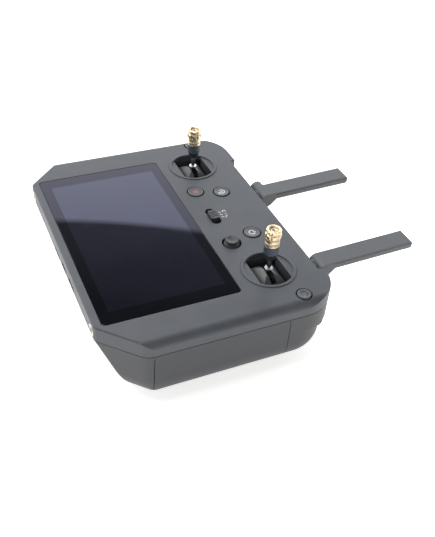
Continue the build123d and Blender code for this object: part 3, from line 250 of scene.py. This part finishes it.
PAINT = [
    (mat_deck, "top_shell gimbal_ring_left gimbal_ring_right"),
    (mat_shell, "bottom_shell vent_grille record_button shutter_button rear_button_left rear_button_right"),
    (mat_shell, "dial_left dial_right"),
    (mat_panel, "side_panel_left side_panel_right"),
    (mat_antenna, "antenna_blade_left antenna_blade_right antenna_swivel_left antenna_swivel_right"),
    (mat_border, "screen_glass"),
    (mat_black, "display_panel fan_housing fan_impeller speaker"),
    (mat_well, "gimbal_base_left gimbal_base_right"),
    (mat_black, "dial_bracket_left dial_bracket_right five_way_plunger five_way_rocker"),
    (mat_board, "main_board button_board rear_switches"),
    (mat_sleeve, "battery_cells"),
    (mat_steel, "stick_shaft_left stick_shaft_right casing_screws antenna_pin_left antenna_pin_right"),
    (mat_steel, "card_slot usb_c_port video_port shield_can"),
    (mat_alu, "display_tray heat_sink"),
    (mat_button, "return_button pause_button power_button back_button confirm_button"),
    (mat_nub, "five_way_nub"),
    (mat_knob, "mode_slider"),
    (mat_yoke, "gimbal_yoke_left gimbal_yoke_right"),
    (mat_gold, "stick_grip_left stick_grip_right"),
    (mat_blue, "stick_sleeve_left stick_sleeve_right"),
    (mat_insert, "threaded_inserts"),
]
for material, names in PAINT:
    for name in names.split():
        node = nodes[name]
        node.data.materials.clear()
        node.data.materials.append(material)


# ------------------------------------------------------------ mesh helpers
INK_ROOT = 0.03 * MM  # how far a printed shape reaches into the surface under it


def finish_mesh(name, mesh_data, material, body, smooth=True):
    """Turns mesh data into a piece that rides a body and has a material slot."""
    mesh = bpy.data.meshes.new(name)
    mesh_data.to_mesh(mesh)
    mesh_data.free()
    piece = bpy.data.objects.new(name, mesh)
    bpy.context.scene.collection.objects.link(piece)
    mesh.materials.append(material)
    for face in mesh.polygons:
        face.use_smooth = smooth
    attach(piece, body)
    return piece


def join_rings(mesh, rings):
    """Faces between each ring of points and the next, and from the last back to the first."""
    count = len(rings[0])
    for ring, following in zip(rings, rings[1:] + rings[:1]):
        for k in range(count):
            n = (k + 1) % count
            mesh.faces.new((ring[k], ring[n], following[n], following[k]))
    bmesh.ops.recalc_face_normals(mesh, faces=mesh.faces)


def lathe(name, profile, centre, segments, relief, material, body):
    """A turned piece. Profile is a closed loop of (radius, height), and relief reshapes the radius."""
    mesh = bmesh.new()
    rings = []
    for radius, height in profile:
        ring = []
        for k in range(segments):
            angle = 2 * pi * k / segments
            r = relief(radius, height, angle) * MM
            spot = (centre[0] + r * cos(angle), centre[1] + r * sin(angle), height * MM)
            ring.append(mesh.verts.new(spot))
        rings.append(ring)
    join_rings(mesh, rings)
    return finish_mesh(name, mesh, material, body)


def steps(points, spacing):
    """A profile with its long runs divided, so that relief has points to move."""
    out = []
    for (r0, z0), (r1, z1) in zip(points, points[1:] + points[:1]):
        length = sqrt((r1 - r0) ** 2 + (z1 - z0) ** 2)
        count = max(1, round(length / spacing))
        out += [(r0 + (r1 - r0) * k / count, z0 + (z1 - z0) * k / count) for k in range(count)]
    return out


def plate(mesh, outline, height, thickness):
    """A thin raised shape with this outline; height is a function of a point's place."""
    low = [mesh.verts.new((x, y, height(x, y) - INK_ROOT)) for x, y in outline]
    high = [mesh.verts.new((x, y, height(x, y) + thickness)) for x, y in outline]
    mesh.faces.new(high)
    mesh.faces.new(list(reversed(low)))
    for k in range(len(outline)):
        n = (k + 1) % len(outline)
        mesh.faces.new((low[k], low[n], high[n], high[k]))


def arc_band(mesh, centre, radius, width, start, end, height, thickness, pieces=24):
    """A ring or an arc, as short joined plates."""
    inner, outer = radius - width / 2, radius + width / 2
    angles = [radians(start + (end - start) * k / pieces) for k in range(pieces + 1)]
    loops = []
    for a in angles:
        pairs = [(centre[0] + r * cos(a), centre[1] + r * sin(a)) for r in (inner, outer)]
        spots = [(x, y, height(x, y) + lift) for lift in (-INK_ROOT, thickness) for x, y in pairs]
        loops.append([mesh.verts.new(spot) for spot in spots])
    for k in range(pieces):
        a, b = loops[k], loops[k + 1]
        mesh.faces.new((a[2], a[3], b[3], b[2]))
        mesh.faces.new((a[1], a[0], b[0], b[1]))
        mesh.faces.new((a[0], a[2], b[2], b[0]))
        mesh.faces.new((a[3], a[1], b[1], b[3]))
    if abs(end - start) < 360:
        first, last = loops[0], loops[-1]
        mesh.faces.new((first[0], first[1], first[3], first[2]))
        mesh.faces.new((last[1], last[0], last[2], last[3]))
    else:
        bmesh.ops.remove_doubles(mesh, verts=mesh.verts, dist=1e-7)


def bar(mesh, centre, length, width, angle, height, thickness):
    """A straight bar, turned by an angle."""
    c, s = cos(radians(angle)), sin(radians(angle))
    x, y = length / 2, width / 2
    corners = [(-x, -y), (x, -y), (x, y), (-x, y)]
    outline = [(centre[0] + x * c - y * s, centre[1] + x * s + y * c) for x, y in corners]
    plate(mesh, outline, height, thickness)


def wedge(mesh, centre, size, angle, height, thickness):
    """An arrow head that points along an angle."""
    spots = [radians(angle + turn) for turn in (0, 130, 230)]
    outline = [(centre[0] + size * cos(a), centre[1] + size * sin(a)) for a in spots]
    plate(mesh, outline, height, thickness)


# ------------------------------------------------------------ stick grips and lock sleeves
# In millimetres: heights are from the resting surface, and radii from the stick's axis.
SCALLOP_AT, SCALLOP_R, SCALLOPS = 4.85, 0.8, 8
SLEEVE_BAND = (60.6, 65.0)  # heights between which the sleeve is knurled
SLEEVE_OUT, SLEEVE_SINK = 4.2, 0.14  # only points outside this radius are knurled, and sunk so far
GRIP_BANDS = ((65.9, 67.6), (68.5, 70.5))
GRIP_OUT, GRIP_SINK = 4.1, 0.06
HEAD_LOW, HEAD_OUT = 70.9, 3.9  # the scallops start here
BOSS_R, BOSS_LOW = 2.2, 74.5
SLEEVE_SEGMENTS, GRIP_SEGMENTS = 240, 272

# Turned profiles, as (radius, height) in millimetres: up the outside, then back down the bore.
SLEEVE = [
    *((1.36, 55.6), (2.6, 55.6), (2.75, 55.9), (2.9, 56.6), (3.95, 59.7), (4.2, 60.2), (4.38, 60.5)),
    *((4.38, 65.1), (4.2, 65.4), (1.36, 65.4)),
]
GRIP = [
    *((1.36, 65.46), (3.95, 65.46), (4.15, 65.7), (4.18, 67.8)),  # lower band
    *((3.85, 67.95), (3.85, 68.15), (4.18, 68.3), (4.18, 70.7)),  # groove and middle band
    *((3.9, 70.85), (3.9, 71.05), (4.5, 71.15), (4.73, 71.5)),  # groove under the head
    *((4.73, 73.4), (4.5, 73.75), (4.2, 73.88), (3.8, 73.9)),  # lower flange of the head
    *((3.75, 74.0), (3.75, 74.7), (3.85, 74.82), (4.2, 74.85)),  # neck
    *((4.42, 75.1), (4.42, 76.0), (4.28, 76.33), (3.95, 76.48)),  # scalloped crown
    *((3.25, 76.48), (2.95, 76.35), (2.8, 76.05), (2.8, 75.1)),  # cup in the crown
    *((2.72, 75.02), (1.9, 75.02), (1.88, 75.5), (1.7, 75.68)),  # boss in the cup
    *((1.0, 75.68), (0.9, 75.55), (0.9, 74.9), (0.5, 74.9)),  # socket in the boss
    *((0.02, 74.9), (0.02, 72.06), (1.36, 72.06)),  # blind bore for the shaft
]


def knurl(count, pitch, depth):
    """Diamond knurling: two crossed sets of helical ridges."""

    def height(angle, z):
        lean = z * 2 * pi / pitch
        a = abs(((angle * count + lean) / pi) % 2 - 1)
        b = abs(((angle * count - lean) / pi) % 2 - 1)
        return depth * (a + b - 1)

    return height


sleeve_knurl = knurl(34, 1.3, 0.12)
grip_knurl = knurl(40, 1.0, 0.05)


def sleeve_relief(radius, z, angle):
    """The sleeve's radius with its knurled band."""
    low, high = SLEEVE_BAND
    if radius > SLEEVE_OUT and low < z < high:
        return radius - SLEEVE_SINK + sleeve_knurl(angle, z)
    return radius


def grip_relief(radius, z, angle):
    """The grip's radius with its two finely knurled bands and the scallops round its head."""
    if radius > GRIP_OUT and any(low < z < high for low, high in GRIP_BANDS):
        return radius - GRIP_SINK + grip_knurl(angle, z)
    if z > HEAD_LOW and radius > HEAD_OUT:
        step = 2 * pi / SCALLOPS
        off = (angle + step / 2) % step - step / 2
        reach = SCALLOP_R**2 - (SCALLOP_AT * sin(off)) ** 2
        if reach > 0:
            return min(radius, SCALLOP_AT * cos(off) - sqrt(reach))
    return radius


def grip_material():
    """The gold grip's metal, with the boss in the cup of its head in a duller, paler one."""
    material = metal("grip_metal_m", (0.86, 0.72, 0.47), 0.27, wear=(0.98, 0.9, 0.72))
    tree = material.node_tree
    shader = tree.nodes["Principled BSDF"]
    base = shader.inputs["Base Color"].links[0].from_socket
    boss_area = tree.nodes.new("ShaderNodeAttribute")
    boss_area.attribute_name = "boss"
    with_boss = colour_mix(tree, boss_area.outputs["Fac"], base, (0.72, 0.60, 0.50))
    tree.links.new(with_boss, shader.inputs["Base Color"])
    return material


mat_grip = grip_material()
for side in ("left", "right"):
    low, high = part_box(f"stick_grip_{side}")
    centre = ((low.x + high.x) / 2, (low.y + high.y) / 2)
    body = f"stick_{side}"
    profile = steps(SLEEVE, 0.16)
    name = f"knurled_sleeve_{side}"
    sleeve = lathe(name, profile, centre, SLEEVE_SEGMENTS, sleeve_relief, mat_blue, body)
    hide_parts(f"stick_sleeve_{side}")
    profile = steps(GRIP, 0.2)
    name = f"scalloped_grip_{side}"
    grip = lathe(name, profile, centre, GRIP_SEGMENTS, grip_relief, mat_grip, body)
    boss = grip.data.attributes.new("boss", "FLOAT", "POINT")
    for vertex in grip.data.vertices:
        from_axis = sqrt((vertex.co.x - centre[0]) ** 2 + (vertex.co.y - centre[1]) ** 2)
        on_boss = from_axis < BOSS_R * MM and vertex.co.z > BOSS_LOW * MM
        boss.data[vertex.index].value = 1.0 if on_boss else 0.0
    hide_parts(f"stick_grip_{side}")


# ------------------------------------------------------------ cover glass
GLASS_R, POLISH, DISPLAY_MARGIN = 2.5 * MM, 0.25 * MM, 0.9 * MM
DISPLAY_R = 0.8 * MM


def rounded_rectangle(low, high, radius, inset, steps_per_corner=6):
    """Points round a rectangle, set in from its edge by an amount."""
    r = max(radius - inset, 0.1 * MM)
    corners = [(high.x, high.y, 0), (low.x, high.y, 90), (low.x, low.y, 180), (high.x, low.y, 270)]
    points = []
    for x, y, start in corners:
        inward_x = -1 if x == high.x else 1
        inward_y = -1 if y == high.y else 1
        cx, cy = x + inward_x * (inset + r), y + inward_y * (inset + r)
        for k in range(steps_per_corner + 1):
            a = radians(start + 90 * k / steps_per_corner)
            points.append((cx + r * cos(a), cy + r * sin(a)))
    return points


def cover_glass():
    """The glass with its polished edge; the display area inside the printed border is a face of its own."""
    low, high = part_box("screen_glass")
    panel_low, panel_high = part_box("display_panel")
    margin = Vector((DISPLAY_MARGIN, DISPLAY_MARGIN, 0))
    mesh = bmesh.new()

    def ring(box_low, box_high, radius, inset, z):
        return [mesh.verts.new((x, y, z)) for x, y in rounded_rectangle(box_low, box_high, radius, inset)]

    loops = [
        ring(low, high, GLASS_R, 0, low.z),
        ring(low, high, GLASS_R, 0, high.z - POLISH),
        ring(low, high, GLASS_R, 0.3 * POLISH, high.z - 0.3 * POLISH),
        ring(low, high, GLASS_R, POLISH, high.z),
        ring(panel_low + margin, panel_high - margin, DISPLAY_R, 0, high.z),
    ]
    for outer, inner in zip(loops, loops[1:]):
        for k in range(len(outer)):
            n = (k + 1) % len(outer)
            mesh.faces.new((outer[k], outer[n], inner[n], inner[k]))
    mesh.faces.new(list(reversed(loops[0])))
    window = mesh.faces.new(loops[-1])
    window.material_index = 1
    piece = finish_mesh("cover_glass", mesh, mat_border, "housing", smooth=False)
    piece.data.materials.append(mat_display)
    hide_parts("screen_glass")


cover_glass()

# ------------------------------------------------------------ collars round the threaded inserts
# a collar's section, as (radius, how far it stands proud) in millimetres
COLLAR = [(2.8, 0.0), (2.95, 0.16), (3.2, 0.16), (3.35, 0.0), (3.35, -0.3), (2.8, -0.3)]


def collars(segments=48):
    """Polished collars that stand a little proud of the user edge."""
    low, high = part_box("threaded_inserts")
    edge_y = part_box("top_shell")[0].y
    radius = (high.z - low.z) / 2
    mesh = bmesh.new()
    for x in (low.x + radius, high.x - radius):
        rings = []
        for r, proud in COLLAR:
            y = edge_y - proud * MM
            angles = [2 * pi * k / segments for k in range(segments)]
            spots = [(x + r * MM * cos(a), y, low.z + radius + r * MM * sin(a)) for a in angles]
            rings.append([mesh.verts.new(spot) for spot in spots])
        join_rings(mesh, rings)
    finish_mesh("insert_collars", mesh, mat_insert, "housing", smooth=False)


collars()

# ------------------------------------------------------------ icons and marks
INK = 0.03 * MM  # how far a printed shape stands proud
DISH, DISH_RIM, FLANGE = 0.3 * MM, 0.9 * MM, 0.95 * MM  # of a button's cap


def cap_top(node):
    """Centre of a button's top, and the height of its dished face at a point."""
    low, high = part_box(node)
    cx, cy, top = (low.x + high.x) / 2, (low.y + high.y) / 2, high.z
    dish_r = ((high.x - low.x) / 2 - FLANGE - DISH_RIM) ** 2 / (2 * DISH)
    return (cx, cy), lambda x, y: top - DISH + ((x - cx) ** 2 + (y - cy) ** 2) / (2 * dish_r)


def icon(name, node, body, material, draw):
    """Draws a printed icon on a button's dished cap."""
    mesh = bmesh.new()
    centre, height = cap_top(node)
    draw(mesh, centre, height)
    finish_mesh(name, mesh, material, body, smooth=False)


def draw_stop(mesh, c, h):
    bar(mesh, c, 3.6 * MM, 3.4 * MM, 0, h, INK)


def draw_return(mesh, c, h):
    arc_band(mesh, c, 2.0 * MM, 0.75 * MM, -60, 215, h, INK)
    wedge(mesh, (c[0] + 1.1 * MM, c[1] - 1.9 * MM), 1.25 * MM, 200, h, INK)
    arc_band(mesh, c, 0.55 * MM, 0.5 * MM, 0, 360, h, INK, 16)


def draw_power(mesh, c, h):
    arc_band(mesh, c, 1.9 * MM, 0.65 * MM, 120, 420, h, INK)
    bar(mesh, (c[0], c[1] + 1.4 * MM), 0.6 * MM, 2.2 * MM, 0, h, INK)


def draw_ring(mesh, c, h):
    arc_band(mesh, c, 1.9 * MM, 0.5 * MM, 30, 330, h, INK)
    wedge(mesh, (c[0] + 1.7 * MM, c[1] + 1.0 * MM), 0.8 * MM, 80, h, INK)


icon("stop_icon", "return_button", "return_key", mat_red, draw_stop)
icon("return_icon", "pause_button", "pause_key", mat_white, draw_return)
icon("power_icon", "power_button", "power_key", mat_white, draw_power)
icon("back_icon", "back_button", "back_key", mat_black, draw_ring)
icon("confirm_icon", "confirm_button", "confirm_key", mat_black, draw_ring)

deck_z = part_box("top_shell")[1].z
slider_low, slider_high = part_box("mode_slider")
slot_x, slot_y = (slider_low.x + slider_high.x) / 2, (slider_low.y + slider_high.y) / 2


def on_deck(x, y):
    return deck_z


marks = bmesh.new()
for k in (-1, 0, 1):
    spot = (slot_x + k * 2.6 * MM, slot_y + 5.6 * MM)
    bar(marks, spot, 1.9 * MM, 0.55 * MM, 62, on_deck, INK)
for k, start, end in ((-1, 40, 320), (1, 150, 330)):
    spot = (slot_x + k * 2.9 * MM, slot_y + 8.6 * MM)
    arc_band(marks, spot, 0.95 * MM, 0.5 * MM, start, end, on_deck, INK, 20)
finish_mesh("mode_marks_white", marks, mat_white, "housing", smooth=False)
marks = bmesh.new()
for k in (0, 1):
    spot = (slot_x + (k - 0.5) * MM, slot_y + (8.9 - k * 0.4) * MM)
    bar(marks, spot, 1.7 * MM, 0.5 * MM, 75, on_deck, INK)
finish_mesh("mode_marks_red", marks, mat_mark_red, "housing", smooth=False)

# ------------------------------------------------------------ floor, light, world
FLOOR_HALF = 4.0
FLOOR_GLOW = 0.70  # the floor lights the object from below, as a light table does
WALL_FACING = (-0.90, 0.10, 0.0)  # where the bright wall stands, seen from the object
WALL_SLANT = (-0.032, -0.062, 1.0)  # the wall's upper edge slants a little
WALL_EDGE = (0.604, 0.610)  # heights on the unit sphere between which that edge fades out
WALL_TURN, WALL_LEVELS = (-0.3, 0.75), (0.55, 2.4)  # how bright it is, from beside it to straight at it
ABOVE_HEIGHTS, ABOVE_LEVELS = (0.606, 0.68), (0.30, 0.10)  # the room above it, darker higher up

floor_data = bmesh.new()
bmesh.ops.create_grid(floor_data, x_segments=1, y_segments=1, size=FLOOR_HALF)
floor_mesh = bpy.data.meshes.new("floor")
floor_data.to_mesh(floor_mesh)
floor_data.free()
floor = bpy.data.objects.new("floor", floor_mesh)
bpy.context.scene.collection.objects.link(floor)
floor_material, tree, shader, coords = new_material("floor_m")
paper = colour_mix(tree, noise(tree, coords, 3.0), (0.93, 0.925, 0.915), (0.95, 0.945, 0.935))
tree.links.new(paper, shader.inputs["Base Color"])
shader.inputs["Roughness"].default_value = 0.85
shader.inputs["Specular IOR Level"].default_value = 0.1
shader.inputs["Emission Color"].default_value = (1.0, 0.99, 0.975, 1)
shader.inputs["Emission Strength"].default_value = FLOOR_GLOW
floor_mesh.materials.append(floor_material)

world = bpy.data.worlds.new("studio")
bpy.context.scene.world = world
world.use_nodes = True
tree = world.node_tree
background = tree.nodes["Background"]
direction = tree.nodes.new("ShaderNodeTexCoord").outputs["Generated"]
split = tree.nodes.new("ShaderNodeSeparateXYZ")
tree.links.new(direction, split.inputs[0])
towards = tree.nodes.new("ShaderNodeVectorMath")
towards.operation = "DOT_PRODUCT"
towards.inputs[1].default_value = WALL_FACING
tree.links.new(direction, towards.inputs[0])


def math_node(operation, first, second):
    """One sum on two values, each a number or a socket."""
    node = tree.nodes.new("ShaderNodeMath")
    node.operation = operation
    for socket, value in zip(node.inputs, (first, second)):
        if isinstance(value, float):
            socket.default_value = value
        else:
            tree.links.new(value, socket)
    return node.outputs[0]


slant = tree.nodes.new("ShaderNodeVectorMath")
slant.operation = "DOT_PRODUCT"
slant.inputs[1].default_value = WALL_SLANT
tree.links.new(direction, slant.inputs[0])
wall = value_ramp(tree, slant.outputs["Value"], *WALL_EDGE, 1.0, 0.0)
above = value_ramp(tree, split.outputs["Z"], *ABOVE_HEIGHTS, *ABOVE_LEVELS)
side = value_ramp(tree, towards.outputs["Value"], *WALL_TURN, *WALL_LEVELS)
from_wall = math_node("MULTIPLY", wall, side)
from_above = math_node("MULTIPLY", math_node("SUBTRACT", 1.0, wall), above)
level = math_node("ADD", from_wall, from_above)
tree.links.new(level, background.inputs["Strength"])
background.inputs["Color"].default_value = (0.94, 0.97, 1.0, 1)


def sun(name, azimuth, elevation, strength, spread, colour):
    """A wide soft light from one side."""
    data = bpy.data.lights.new(name, "SUN")
    data.energy = strength
    data.angle = radians(spread)
    data.color = colour
    lamp = bpy.data.objects.new(name, data)
    a, e = radians(azimuth), radians(elevation)
    place = Vector((sin(a) * cos(e), cos(a) * cos(e), sin(e)))
    lamp.matrix_world = place.to_track_quat("Z", "Y").to_matrix().to_4x4()
    bpy.context.scene.collection.objects.link(lamp)


sun("key", azimuth=-120, elevation=68, strength=2.6, spread=50, colour=(1.0, 0.99, 0.97))
bpy.context.scene.view_settings.view_transform = "Standard"
